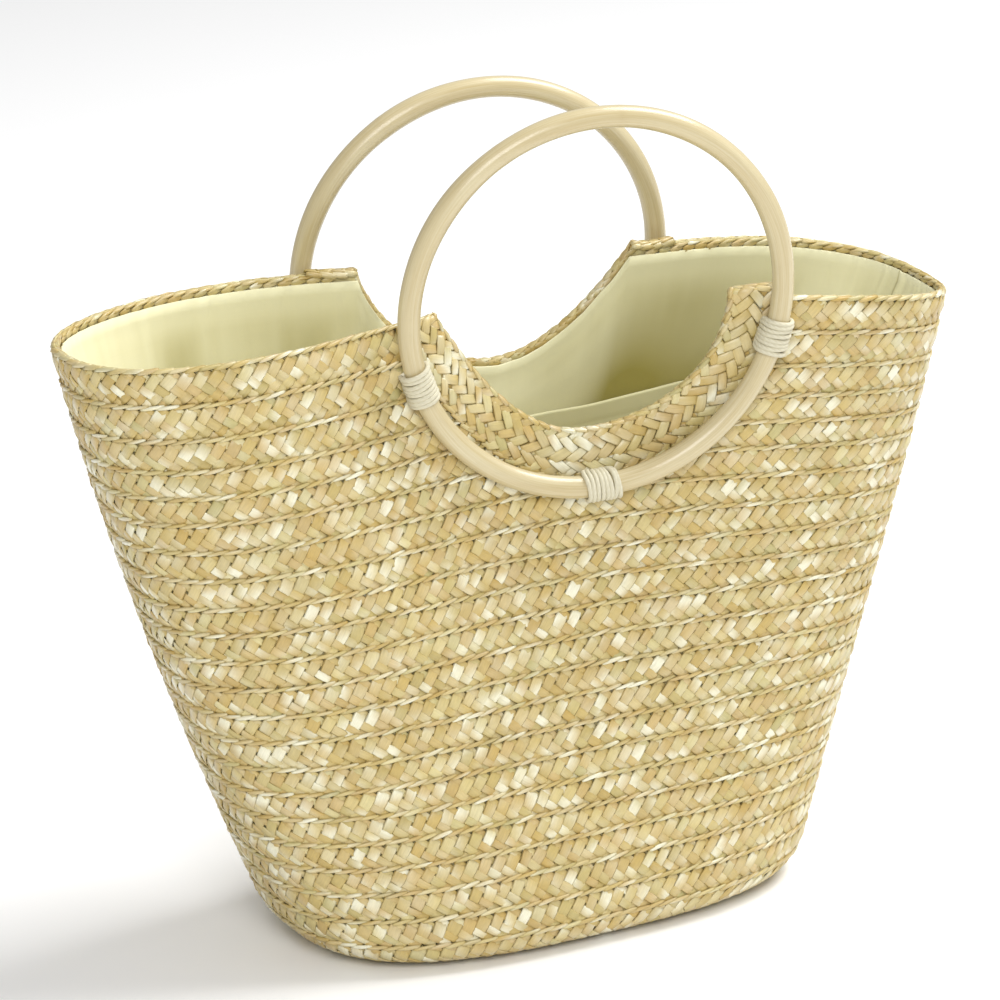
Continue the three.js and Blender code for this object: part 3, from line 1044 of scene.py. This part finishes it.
@dataclass
class StrawBasket:
    """The woven basket: rows of plait on a thin ground of straw, and a plaited oval floor."""

    pitch: float = 6.55
    floor_round: float = 12.6
    floor_middle: float = 6.0
    seed: int = 11
    rope: Ribbon = Ribbon(0.8, 9.8, 1.7, 9, 0.62, dive=0.4, arch=0.35, taper=0.4, lap=0, body=1.2)
    edge: Ribbon = Ribbon(2.7, 5.8, 3.9, -44, 0.08, dive=0.3, rings=3)
    upper: Ribbon = Ribbon(5.6, 8.3, 5.1, 50, 0.42, dive=0.6)
    lower: Ribbon = Ribbon(9.6, 6.7, 4.5, -40, 0.36, dive=0.55, lap=-0.16)
    sunken: Ribbon = Ribbon(12.6, 6.4, 4.9, 43, 0.2, dive=0.35, rings=3)
    buried: Ribbon = Ribbon(15.4, 6.4, 4.7, -43, 0.1, dive=0.35, rings=3)
    rim_rope: Ribbon = Ribbon(-1.0, 8.0, 2.8, 12, 0.3, dive=0.4, arch=0.3, taper=0.35, lap=0, body=1.1)
    rim_fold: Ribbon = Ribbon(-3.3, 6.8, 3.2, 18, 0.25, dive=0.4, taper=0.25)
    groups: tuple[tuple[str, int, int], ...] = (
        ("straw_rows_rim", 0, 5),
        ("straw_rows_upper", 5, 10),
        ("straw_rows_lower", 10, 16),
        ("straw_rows_lowest", 16, 22),
    )

    def build(self, finish: bpy.types.Material, ground: bpy.types.Material) -> None:
        """Makes the ground, the rows and the floor.

        Args:
            finish: The strands' material.
            ground: The material seen between them.
        """
        rng = np.random.default_rng(self.seed)
        scoops = Scoops(8.5)
        for name, first, last in self.groups:
            surface = Surface()
            for index in range(first, last):
                self._row(surface, index, rng, scoops)
            surface.piece(name, finish, "straw", "straw_body")
        self._floor(rng).piece("straw_floor", finish, "straw")
        self._ground().piece("straw_ground", ground, "straw")

    def _row(self, surface: Surface, index: int, rng: np.random.Generator, scoops: Scoops) -> None:
        """Weaves one row.

        Args:
            surface: Where its strands go.
            index: Its number from the rim.
            rng: Source of randomness.
            scoops: What keeps strands out of the scoops.
        """
        row = PlaitRow(index)
        count = round(row.girth / self.pitch)
        pitch = row.girth / count
        start = rng.uniform(0, pitch)
        along = start + pitch * np.arange(count)
        parts = [(self.sunken, 0.4, -0.3), (self.edge, 0.0, -0.4), (self.upper, 0.5, 0.18), (self.lower, 0.0, 0.1)]
        if row.deep > 13:
            parts.insert(0, (self.buried, 0.9, -0.4))
        if index == 0:
            parts += [(self.rim_fold, 0.0, -0.3), (self.rim_rope, 0.5, -0.1)]
        parts += [(self.rope, 0.35, 0.1)]
        for ribbon, offset, brightness in parts:
            tints = StrandTints(rng)
            weave(surface, ribbon, row.place, along + offset * pitch, tints, brightness, scoops.keep)

    def _floor(self, rng: np.random.Generator) -> Surface:
        """Weaves the floor, in rounds that are set in from the foot's outline by their depth.

        Args:
            rng: Source of randomness.

        Returns:
            The surface.
        """
        surface = Surface()
        turn = np.linspace(0, TAU, 1200)
        outline = WALL.point(turn, np.zeros_like(turn))
        run = np.gradient(outline, axis=0)
        side = np.stack([run[:, 1], -run[:, 0], 0 * turn], axis=-1)
        side /= np.linalg.norm(side, axis=1, keepdims=True)
        for start in np.arange(-3.0, 48.0, self.floor_round):
            line = outline - side * (start + self.floor_middle)
            lengths = run_length(line)
            girth = float(lengths[-1])

            def place(s: Array, w: Array, h: Array, start: float = start, lengths: Array = lengths) -> Array:
                """Places of the round's coordinates: in from the outline, its lift downwards."""
                where = np.interp(np.mod(s, lengths[-1]), lengths, turn)
                base, out = along_path(where, turn, outline), along_path(where, turn, side)
                flat = base - out * (start + w)[..., None]
                height = np.maximum(1.5 + 0.05 * w - h, 0.05)
                return np.concatenate([flat, height[..., None]], axis=-1)

            count = max(6, round(girth / self.pitch))
            along = girth / count * np.arange(count)
            tints = StrandTints(rng)
            for ribbon, offset in ((self.upper, 0.5), (self.lower, 0.0), (self.edge, 0.0), (self.rope, 0.35)):
                weave(surface, ribbon, place, along + offset * girth / count, tints)
        return surface

    @staticmethod
    def _ground() -> Surface:
        """The thin straw ground behind the strands, closed over at the rim and the scoops."""
        turns = WALL.columns(260, 16)
        outer, inner, floor, below_edge = 1.65, 2.2, 1.9, 0.8
        top = WALL.top_share(turns, 1.0, below_edge)
        level = np.concatenate([[0.0, 0.006, 0.018, 0.04, 0.07], np.linspace(0.11, 1, 42)])
        shares = level[:, None] * top[None, :]
        skins = []
        for inset in (outer, inner):
            skin = WALL.lifted(turns[None, :], shares, np.full_like(shares, -inset))
            skin[..., 2] = np.maximum(skin[..., 2], floor + inset - outer)
            skins.append(skin)
        return shell(*skins, np.array(Straw.PALE.value), np.zeros_like(shares))


def shell(outer: Array, inner: Array, tint: Array, gloss_and_shade_levels: Array) -> Surface:
    """A closed skin between two stacks of closed rings, shut at the foot and round the top.

    Args:
        outer: Rings of the outside from the foot up, as rings by columns by three.
        inner: Rings of the inside, as many.
        tint: A linear colour for all.
        gloss_and_shade_levels: Gloss for each ring and column; on cloth, the share of painted shade.

    Returns:
        The surface.
    """
    rings, columns = outer.shape[:2]
    pole_out = outer[0].mean(axis=0)
    pole_in = inner[0].mean(axis=0)
    points = np.concatenate([outer.reshape(-1, 3), inner.reshape(-1, 3), [pole_out, pole_in]])
    total = rings * columns
    here = np.arange(columns)
    after = (here + 1) % columns
    top = (rings - 1) * columns
    rim = np.stack([top + here, top + after, total + top + after, total + top + here], axis=-1)
    sides = band_faces(rings, columns)
    surface = Surface()
    up = np.concatenate([[0], np.cumsum(np.linalg.norm(np.diff(outer, axis=0), axis=2).mean(axis=1))])
    place = np.stack(np.meshgrid(run_length(outer[-1]), up, indexing="xy"), axis=-1).reshape(-1, 2)
    places = np.concatenate([place, place, [place[0], place[0]]])
    surface.add(
        points,
        [
            sides,
            sides[:, ::-1] + total,
            rim,
            cap_faces(0, columns, 2 * total, True),
            cap_faces(total, columns, 2 * total + 1, False),
        ],
        places,
        np.broadcast_to(tint, (len(points), 3)),
        np.concatenate([gloss_and_shade_levels.ravel(), gloss_and_shade_levels.ravel(), [0.0, 0.0]]),
    )
    return surface


# ---- Scoop trims ----


@dataclass
class ScoopTrim:
    """The wider plait laid along one scoop, its ends turned over the rim to the inside."""

    name: str
    side: WallSide
    seed: int
    slope: float = 0.1
    spare: float = 8.0
    roll_radius: float = 2.3
    over: float = 2.5
    seat: float = 1.05
    width: float = 21.0
    fold: float = 1.8
    fold_radius: float = 2.0
    pitch: float = 5.5
    fold_over: Ribbon = Ribbon(-1.5, 6.6, 3.1, -24, 0.1, dive=0.3, taper=0.1)
    fold_under: Ribbon = Ribbon(-4.0, 6.6, 3.5, 20, 0.0, dive=0.3, taper=0.1)
    cap: Ribbon = Ribbon(3.6, 7.6, 3.2, 12, 0.1, dive=0.4, arch=0.2, taper=0.2, lap=0, body=1.1)
    inner_rope: Ribbon = Ribbon(0.8, 6.6, 2.4, -14, 0.15, dive=0.5, arch=0.3, taper=0.35, lap=0, body=1.2)
    inner_edge: Ribbon = Ribbon(2.9, 6.0, 3.9, 43, -0.05, dive=0.5)
    inner: Ribbon = Ribbon(6.6, 8.2, 4.1, -43, 0.4, dive=0.7)
    middle: Ribbon = Ribbon(11.6, 8.0, 4.1, 43, 0.36, dive=0.7)
    outer: Ribbon = Ribbon(16.2, 7.2, 4.0, -43, 0.25, dive=0.6)
    outer_edge: Ribbon = Ribbon(19.0, 5.6, 3.7, 43, -0.1, dive=0.5)
    outer_rope: Ribbon = Ribbon(20.7, 6.6, 2.0, 12, -0.1, dive=0.4, taper=0.3, lap=0)

    def __post_init__(self) -> None:
        """Lays out the scoop's edge with its two straight ends and smooths its run."""
        u = -np.cos(np.linspace(0, math.pi, 400))
        x = WALL.middle_x + self.side.scoop_x + WALL.scoop_half_width * u
        edge = np.stack([x, WALL.scoop_height(self.side, x)], axis=-1)
        top = WALL.height + self.spare
        path = np.concatenate([[[edge[0, 0], top]], edge, [[edge[-1, 0], top]]])
        lengths = run_length(path)
        self.long = float(lengths[-1]) - 2 * self.spare
        self.s = np.linspace(-self.spare, self.long + self.spare, 700)
        self.path = along_path(self.s + self.spare, lengths, path)
        blur = np.hanning(41)
        blur /= blur.sum()
        padded = np.pad(self.path, ((20, 20), (0, 0)), mode="reflect", reflect_type="odd")
        smooth = np.stack([np.convolve(padded[:, k], blur, mode="valid") for k in range(2)], axis=-1)
        run = np.gradient(smooth, axis=0)
        run /= np.linalg.norm(run, axis=1, keepdims=True)
        self.away = np.stack([run[:, 1], -run[:, 0]], axis=-1)

    def end_slope(self, w: Array) -> Array:
        """How much further the band runs at a distance out before it turns over the rim."""
        return self.slope * (np.clip(w, 0, self.width) - 11)

    def place(self, s: Array, w: Array, h: Array) -> Array:
        """Places of the trim's coordinates: along the scoop, away from it, and off the wall.

        Nearer the scoop than the fold, the band rolls over the edge on a half circle and goes on
        along the inside. Past either end it does the same over the rim, on a line that slopes.

        Args:
            s: Place along the scoop's edge.
            w: Distance out from the edge.
            h: Lift off the band's seat.

        Returns:
            Places in millimetres.
        """
        turned = np.minimum(np.maximum(self.fold - w, 0) / self.fold_radius, math.pi)
        beyond = np.maximum(self.fold - w - math.pi * self.fold_radius, 0)
        reach = self.fold_radius + h
        out = np.where(w < self.fold, self.fold - reach * np.sin(turned) + beyond, w)
        lift = np.where(w < self.fold, reach * np.cos(turned) - self.fold_radius, h)
        end = self.end_slope(w)
        inside = np.clip(s, -end, self.long + end)
        over = np.abs(s - inside)
        flat = along_path(inside, self.s, self.path) + along_path(inside, self.s, self.away) * out[..., None]
        turn, share = WALL.behind(self.side, flat[..., 0], flat[..., 1])
        rolled = np.minimum(over / self.roll_radius, math.pi)
        down = np.maximum(over - math.pi * self.roll_radius, 0)
        swing = self.roll_radius + lift
        place = WALL.lifted(turn, share, self.seat - self.roll_radius + swing * np.cos(rolled))
        place[..., 2] += swing * np.sin(rolled) - down
        return place

    def build(self, finish: bpy.types.Material) -> bpy.types.Object:
        """Weaves the trim.

        Args:
            finish: The strands' material.

        Returns:
            The piece.
        """
        rng = np.random.default_rng(self.seed)
        tints = StrandTints(rng)
        surface = Surface()
        whole = self.long + 2 * self.over
        count = round(whole / self.pitch)
        pitch = whole / count
        along = -self.over + pitch * np.arange(count)
        for ribbon, offset, brightness in (
            (self.outer_rope, 0.35, -0.4),
            (self.inner_edge, 0.0, -0.1),
            (self.outer_edge, 0.5, -0.1),
            (self.outer, 0.0, 0.0),
            (self.inner, 0.5, 0.1),
            (self.middle, 0.0, 0.05),
            (self.inner_rope, 0.35, 0.0),
        ):
            weave(surface, ribbon, self.place, along + offset * pitch, tints, brightness)
        edge = pitch * np.arange(1, round(self.long / pitch))
        weave(surface, self.fold_under, self.place, edge + 0.4 * pitch, tints, -0.2)
        weave(surface, self.fold_over, self.place, edge, tints, -0.2)
        for start, way in ((0.0, -1.0), (self.long, 1.0)):

            def cap_place(s: Array, w: Array, h: Array, start: float = start, way: float = way) -> Array:
                """Places of strands laid across the band, w past its end and over the rim."""
                return self.place(start + way * (w + self.end_slope(s)), s, h)

            for shift in (-3.0, 0.0, 2.9):
                across = np.arange(2.6, 19, 5.4) + tints.rng.uniform(-0.5, 0.5)
                ribbon = replace(self.cap, depth=self.cap.depth + shift)
                weave(surface, ribbon, cap_place, across, tints, -0.1)
        self._backing(surface)
        return surface.piece(f"{self.name}_plait", finish, "trim", self.name)

    def _backing(self, surface: Surface) -> None:
        """A thin closed strip under the strands, so that no gap shows through the band."""
        s = np.linspace(-7.0, self.long + 7.0, 180)
        w = np.array([-4.6, -3.2, -2.0, -0.8, 0.4, 1.8, 5.0, 10.5, 16.0, 20.2])
        grid = np.meshgrid(s, w, indexing="ij")
        low, high = (self.place(grid[0], grid[1], np.full_like(grid[0], lift)) for lift in (-1.25, -0.95))
        loop = np.concatenate([low, high[:, ::-1]], axis=1)
        columns = loop.shape[1]
        ends = np.stack([np.arange(columns)[::-1], np.arange(columns) + (len(s) - 1) * columns])
        points = loop.reshape(-1, 3)
        place = np.stack([np.tile(np.arange(columns), len(s)), np.repeat(s, columns)], axis=-1)
        tint = np.broadcast_to(np.array(Straw.DEEP.value), (len(points), 3))
        surface.add(points, [band_faces(len(s), columns), ends], place, tint)


# ---- Lining ----


@dataclass
class Lining:
    """The cotton lining, sewn in just below the rim, with a seam up its right end.

    Painted shade darkens it between two depths below the rim and fades again between two others.
    """

    below_rim: float = 3.4
    inset: float = 3.1
    thickness: float = 0.8
    floor: float = 3.4
    seam_turn: float = 0.16
    seam_width: float = 0.02
    hem_drop: float = 5.0
    fold_waves: tuple[int, ...] = (5, 8, 13, 21, 34)
    fold_depth: float = 15.0
    fold_shade: float = 0.6
    pucker_waves: tuple[int, ...] = (70, 97, 131)
    shade_deepens: tuple[float, float] = (26.0, 88.0)
    shade_fades: tuple[float, float] = (105.0, 170.0)
    seed: int = 5

    def wrinkles(self, turn: Array, level: Array) -> Array:
        """How far the cloth stands in from the wall: upright soft folds, deepest high up.

        Each fold is a wave round the bag whose phase drifts with the height and whose depth goes
        down with the number of waves. Finer puckers show only near the seam at the rim.

        Args:
            turn: Turn about Z.
            level: Share of the way up the cloth.

        Returns:
            Inset beyond the usual, in millimetres.
        """
        rng = np.random.default_rng(self.seed)
        depth = np.zeros(np.broadcast(turn, level).shape)
        for waves in self.fold_waves:
            phase, drift = rng.uniform(0, TAU), rng.uniform(-2.2, 2.2)
            wave = 0.5 + 0.5 * np.sin(waves * turn + phase + drift * level)
            depth = depth + wave * self.fold_depth / waves
        pucker = np.zeros_like(depth)
        for waves in self.pucker_waves:
            pucker = pucker + np.sin(waves * turn + rng.uniform(0, TAU)) * 0.14
        hang = ramp(level, 0.06, 0.5) * (1 - 0.85 * ramp(level, 0.9, 1.0))
        return depth * hang + (pucker + 0.2) * ramp(level, 0.8, 0.99)

    def build(self, finish: bpy.types.Material) -> bpy.types.Object:
        """Sews the lining.

        Args:
            finish: The cloth's material.

        Returns:
            The piece.
        """
        turns = WALL.columns(360, 14)
        top = WALL.top_share(turns, 1 - self.below_rim / WALL.height, 1.7)
        level = np.concatenate([[0.0, 0.008, 0.02, 0.035, 0.055, 0.08], np.linspace(0.11, 1, 48)])
        shares = level[:, None] * top[None, :]
        fold = self.wrinkles(turns[None, :], level[:, None])
        gap = turn_gap(turns, self.seam_turn)
        below = (top[None, :] - shares) * WALL.height
        seam = np.exp(-((gap / self.seam_width) ** 2))[None, :] * ramp(level, 0.1, 0.2)[:, None]
        hem = np.exp(-((below - self.hem_drop) ** 2))
        lift = -(self.inset + fold + 1.3 * seam - 0.35 * hem)
        outer = WALL.lifted(turns[None, :], shares, lift)
        inner = WALL.lifted(turns[None, :], shares, lift - self.thickness)
        outer[..., 2] = np.maximum(outer[..., 2], self.floor)
        inner[..., 2] = np.maximum(inner[..., 2], self.floor + self.thickness)
        # Painted shade: a dark line beside the seam, the valleys of the folds, and a band deeper in the bag that
        # fades again lower down.
        cloth_shade = 0.8 * np.exp(-(((gap - 0.03) / 0.012) ** 2))[None, :] * np.ones_like(shares)
        hangs = ramp(level, 0.1, 0.4) * (1 - ramp(level, 0.9, 0.99))
        valley = self.fold_shade * (1 - ramp(fold, 1.2, 4.2)) * hangs[:, None]
        fade = ramp(below, *self.shade_fades)
        deep = 0.72 * ramp(below, *self.shade_deepens) * (1 - 0.7 * fade)
        cloth_shade = np.clip(cloth_shade + valley * (1 - 0.8 * fade) + deep, 0, 1)
        made = shell(outer, inner, np.ones(3), cloth_shade).piece("lining_cloth", finish, "lining", "lining")
        return made


@dataclass
class LiningPocket:
    """The slip pocket on the back of the lining, its hemmed top hanging a little open."""

    left: float = -71.5
    right: float = 128.5
    bottom: float = 72.0
    top: float = 212.0
    hem: float = 9.0
    inset: float = 4.6
    gape: float = 6.0
    thickness: float = 0.8

    def build(self, finish: bpy.types.Material, lining: Lining) -> bpy.types.Object:
        """Sews the pocket.

        The cloth lies on the lining and stands off by the gape times a half wave across and a
        rising curve up to its open top.

        Args:
            finish: The cloth's material.
            lining: What it is sewn to.

        Returns:
            The piece.
        """
        x = np.linspace(self.left, self.right, 96)
        below_hem, at_hem = (self.bottom, self.top - 14), (self.top - 12.5, self.top)
        z = np.concatenate([np.linspace(*below_hem, 28), np.linspace(*at_hem, 12)])
        grid_x, grid_z = np.meshgrid(x, z, indexing="xy")
        turn, share = WALL.behind(WALL.back, grid_x, grid_z)
        u = (grid_x - self.left) / (self.right - self.left)
        v = (grid_z - self.bottom) / (self.top - self.bottom)
        open_top = self.gape * np.sin(math.pi * u) ** 0.8 * ramp(v, 0.55, 1.0)
        ripple = 0.5 * np.sin(9 * u + 1.0) * np.sin(math.pi * u) * ramp(v, 0.2, 1)
        stitched = np.exp(-(((self.top - grid_z - self.hem) / 0.8) ** 2))
        top = WALL.top_share(turn.ravel(), 1 - lining.below_rim / WALL.height, 1.7).reshape(turn.shape)
        fold = lining.wrinkles(turn, share / top)
        lift = -(self.inset + fold + open_top + ripple - 0.15 * stitched)
        outer = WALL.lifted(turn, share, lift)
        inner = WALL.lifted(turn, share, lift - self.thickness)
        rows, columns = grid_x.shape
        total = rows * columns
        numbers = np.arange(total).reshape(rows, columns)
        edge = np.concatenate([numbers[0], numbers[1:, -1], numbers[-1, -2::-1], numbers[-2:0:-1, 0]])
        after = np.roll(edge, -1)
        rim = np.stack([edge, after, after + total, edge + total], axis=-1)[:, ::-1]
        sheet = band_faces(rows, columns, closed=False)
        points = np.concatenate([outer.reshape(-1, 3), inner.reshape(-1, 3)])
        pattern = np.stack([grid_x, grid_z], axis=-1).reshape(-1, 2)
        # Painted shade: the pocket goes a little toward the cloth's shadow colour, and a little more along the
        # hem's stitched groove.
        cloth_shade = (0.18 + 0.12 * stitched).ravel()
        surface = Surface()
        surface.add(
            points,
            [sheet, sheet[:, ::-1] + total, rim],
            np.concatenate([pattern, pattern]),
            None,
            np.concatenate([cloth_shade, cloth_shade]),
        )
        made = surface.piece("pocket_cloth", finish, "lining", "lining_pocket")
        return made


# ---- Handles ----


@dataclass
class RingHandle:
    """A round rattan handle with the three cord bindings that hold it to the wall."""

    name: str
    side: WallSide
    centre: tuple[float, float, float]
    facing: tuple[float, float, float]
    seed: int
    radius: float = 84
    stock: float = 4.8
    cord: float = 1.1
    cord_pitch: float = 1.98
    turns: int = 8
    reach: float = 8.6
    angles: tuple[tuple[str, float], ...] = (("left", 200.0), ("middle", 272.5), ("right", 344.5))

    def basis(self) -> Array:
        """The ring's level, upward and facing directions, one a row."""
        facing = np.array(self.facing) / np.linalg.norm(self.facing)
        level = np.array([-facing[1], facing[0], 0])
        level /= np.linalg.norm(level)
        return np.stack([level, np.cross(facing, level), facing])

    def ring(self, finish: bpy.types.Material) -> bpy.types.Object:
        """Makes the ring: a circle carried round a circle, a little uneven, with two faint joints.

        Args:
            finish: The rattan's material.

        Returns:
            The piece.
        """
        rng = np.random.default_rng(self.seed)
        steps, sides = 300, 28
        turn = TAU * np.arange(steps) / steps
        around = TAU * np.arange(sides) / sides
        swell = sum(0.07 * np.sin(waves * turn + rng.uniform(0, TAU)) for waves in (3, 5, 9))
        joint = np.zeros(steps)
        for place in rng.uniform(0, math.pi, 2):
            gap = turn_gap(turn, place)
            joint += np.exp(-((gap * self.radius / 1.4) ** 2))
        section = self.stock + swell + 0.05 * joint
        level, upward, facing = self.basis()
        out = np.cos(turn)[:, None] * level + np.sin(turn)[:, None] * upward
        cut = np.cos(around)[None, :, None] * out[:, None] + np.sin(around)[None, :, None] * facing
        middle = np.array(self.centre) + self.radius * out
        points = middle[:, None] + section[:, None, None] * cut
        u, v = np.meshgrid(self.stock * around, self.radius * turn, indexing="xy")
        mirrored = np.stack([np.abs(u - math.pi * self.stock), np.abs(v - math.pi * self.radius)], axis=-1)
        tint = np.ones((steps, sides, 3)) - 0.05 * joint[:, None, None] * np.array([0.7, 1.0, 1.3])
        surface = Surface()
        surface.add(
            points.reshape(-1, 3),
            [band_faces(steps, sides, looped=True)],
            mirrored.reshape(-1, 2),
            tint.reshape(-1, 3),
        )
        return surface.piece(f"rattan_ring_{self.name}", finish, "handle", f"ring_handle_{self.name}")

    def binding(self, place: str, angle: float, finish: bpy.types.Material) -> bpy.types.Object:
        """Winds one binding: turns of cord round the stock that pass on into the straw.

        Each turn is a loop: a half circle round the stock, stretched on its wall side by a root
        of the sine until it reaches through the straw. Its ends are drawn together there.

        Args:
            place: Its name.
            angle: Its place round the ring, in degrees.
            finish: The cord's material.

        Returns:
            The piece.
        """
        rng = np.random.default_rng(self.seed + int(angle))
        level, upward, facing = self.basis()
        a = math.radians(angle)
        out = math.cos(a) * level + math.sin(a) * upward
        run = -math.sin(a) * level + math.cos(a) * upward
        to_wall = facing * self.side.sign
        middle = np.array(self.centre) + self.radius * out
        turn = TAU * np.arange(30) / 30
        surface = Surface()
        hug = self.stock + self.cord + 0.08
        for index in range(self.turns):
            offset = (index - (self.turns - 1) / 2) * self.cord_pitch
            shift = offset + rng.normal(0, 0.16)
            spread = hug + rng.uniform(-0.25, 0.15)
            sine = np.sin(turn)
            stretch = self.reach * rng.uniform(0.96, 1.03)
            to = np.where(sine > 0, -spread * sine, stretch * np.abs(sine) ** 0.62)
            side = spread * np.cos(turn) * (1 - 0.22 * ramp(to, 3.0, self.reach))
            gather = 1 - 0.35 * ramp(to, 1.0, self.reach)
            slant = rng.normal(0.5, 0.22) * np.cos(turn) + 0.14 * np.sin(2 * turn + rng.uniform(0, 6))
            path = middle + side[:, None] * out + to[:, None] * to_wall + (shift * gather + slant)[:, None] * run
            surface.add(*loop_tube(path, self.cord * rng.uniform(0.94, 1.03), 8))
        node = f"binding_{self.name}_{place}"
        return surface.piece(f"{node}_cord", finish, "binding", node)

    def build(self, rattan: bpy.types.Material, cord: bpy.types.Material) -> None:
        """Makes the ring and its bindings.

        Args:
            rattan: The ring's material.
            cord: The bindings' material.
        """
        self.ring(rattan)
        for place, angle in self.angles:
            self.binding(place, angle, cord)


# ---- Studio ----


@dataclass
class Studio:
    """A pale floor, soft light and the camera that sees the bag as the photograph does."""

    azimuth: float = math.radians(29.28)
    elevation: float = math.radians(18.16)
    roll: float = math.radians(0.77)
    distance: float = 2332.1
    target: tuple[float, float, float] = (-2.87, -1.5, 186.64)
    lens: float = 191.78
    sensor: float = 36.0
    floor_half: float = 4.0
    fill: float = 0.46
    lights: tuple[tuple[str, float, float, float, float, float], ...] = (
        ("key", 0.05, -1.95, 1.4, 1.0, 26),
        ("top", 1.3, 0.6, 2.2, 1.4, 66),
    )

    def camera(self) -> None:
        """Sets up the camera."""
        a, e, r = self.azimuth, self.elevation, self.roll
        ahead = np.array([math.sin(a) * math.cos(e), math.cos(a) * math.cos(e), -math.sin(e)])
        right = np.array([math.cos(a), -math.sin(a), 0.0])
        up = np.cross(right, ahead)
        right, up = right * math.cos(r) - up * math.sin(r), up * math.cos(r) + right * math.sin(r)
        data = bpy.data.cameras.new("camera")
        data.sensor_width = self.sensor
        data.lens = self.lens
        data.clip_start, data.clip_end = 0.05, 50
        camera = bpy.data.objects.new("camera", data)
        place = (np.array(self.target) - ahead * self.distance) * METRES
        matrix = np.eye(4)
        matrix[:3, :3] = np.stack([right, up, -ahead], axis=1)
        matrix[:3, 3] = place
        camera.matrix_world = Matrix(matrix.tolist())
        bpy.context.scene.collection.objects.link(camera)
        bpy.context.scene.camera = camera

    def light(self, name: str, right: float, ahead: float, height: float, size: float, power: float) -> None:
        """Adds one soft square light that points at the bag.

        Args:
            name: Its name.
            right: How far it hangs to the camera's right, in metres.
            ahead: How far it hangs beyond the bag, in metres.
            height: Its height in metres.
            size: Its side in metres.
            power: Its power in watts.
        """
        data = bpy.data.lights.new(name, "AREA")
        data.shape = "SQUARE"
        data.size = size
        data.energy = power
        lamp = bpy.data.objects.new(name, data)
        c, s = math.cos(self.azimuth), math.sin(self.azimuth)
        place = np.array([right * c + ahead * s, ahead * c - right * s, height])
        away = place - np.array([0, 0, 0.15])
        away /= np.linalg.norm(away)
        side = np.cross([0, 0, 1], away)
        side /= np.linalg.norm(side)
        matrix = np.eye(4)
        matrix[:3, :3] = np.stack([side, np.cross(away, side), away], axis=1)
        matrix[:3, 3] = place
        lamp.matrix_world = Matrix(matrix.tolist())
        bpy.context.scene.collection.objects.link(lamp)

    def build(self) -> None:
        """Sets the floor, the lights and the camera."""
        scene = bpy.context.scene
        half = self.floor_half
        mesh = bpy.data.meshes.new("floor")
        corners = [(-half, -half, 0), (half, -half, 0), (half, half, 0), (-half, half, 0)]
        mesh.from_pydata(corners, [], [(0, 1, 2, 3)])
        mesh.materials.append(PlainFinish("floor", (0.95, 0.95, 0.95)).material())
        floor = bpy.data.objects.new("floor", mesh)
        scene.collection.objects.link(floor)
        world = bpy.data.worlds.new("studio")
        world.use_nodes = True
        world.node_tree.nodes["Background"].inputs["Color"].default_value = (1, 1, 1, 1)
        world.node_tree.nodes["Background"].inputs["Strength"].default_value = self.fill
        scene.world = world
        for light in self.lights:
            self.light(*light)
        scene.view_settings.view_transform = "Standard"
        self.camera()


def main() -> None:
    """Builds the bag round its frame and reports each piece."""
    logging.basicConfig(level=logging.INFO, format="%(message)s")
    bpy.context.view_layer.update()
    Studio().build()
    straw = StrawFinish("wheat_straw").material()
    ground = StrawFinish("straw_ground", dull=0.8, shiny=0.7).material()
    trim = StrawFinish("trim_straw", dull=0.5, shiny=0.28).material()
    # The cloth's cream, and the olive of its painted shade.
    cream, olive_shade = linear(241, 237, 198), linear(168, 157, 80)
    cloth = ClothFinish("cream_cotton", cream, olive_shade).material()
    rattan = RattanFinish("natural_rattan", linear(208, 197, 162), linear(184, 165, 118)).material()
    cord = CordFinish("waxed_cord", linear(217, 212, 190), linear(198, 190, 160)).material()
    StrawBasket().build(straw, ground)
    ScoopTrim("scoop_trim_front", WALL.front, 21).build(trim)
    ScoopTrim("scoop_trim_back", WALL.back, 22).build(trim)
    lining = Lining()
    lining.build(cloth)
    LiningPocket().build(cloth, lining)
    front_facing, back_facing = (-0.19849, -0.97567, -0.09308), (-0.16137, -0.98088, -0.10876)
    RingHandle("front", WALL.front, (14.278, -58.254, 287.0), front_facing, 31).build(rattan, cord)
    RingHandle("back", WALL.back, (22.078, 58.835, 275.0), back_facing, 32).build(rattan, cord)


if __name__ == "__main__":
    main()
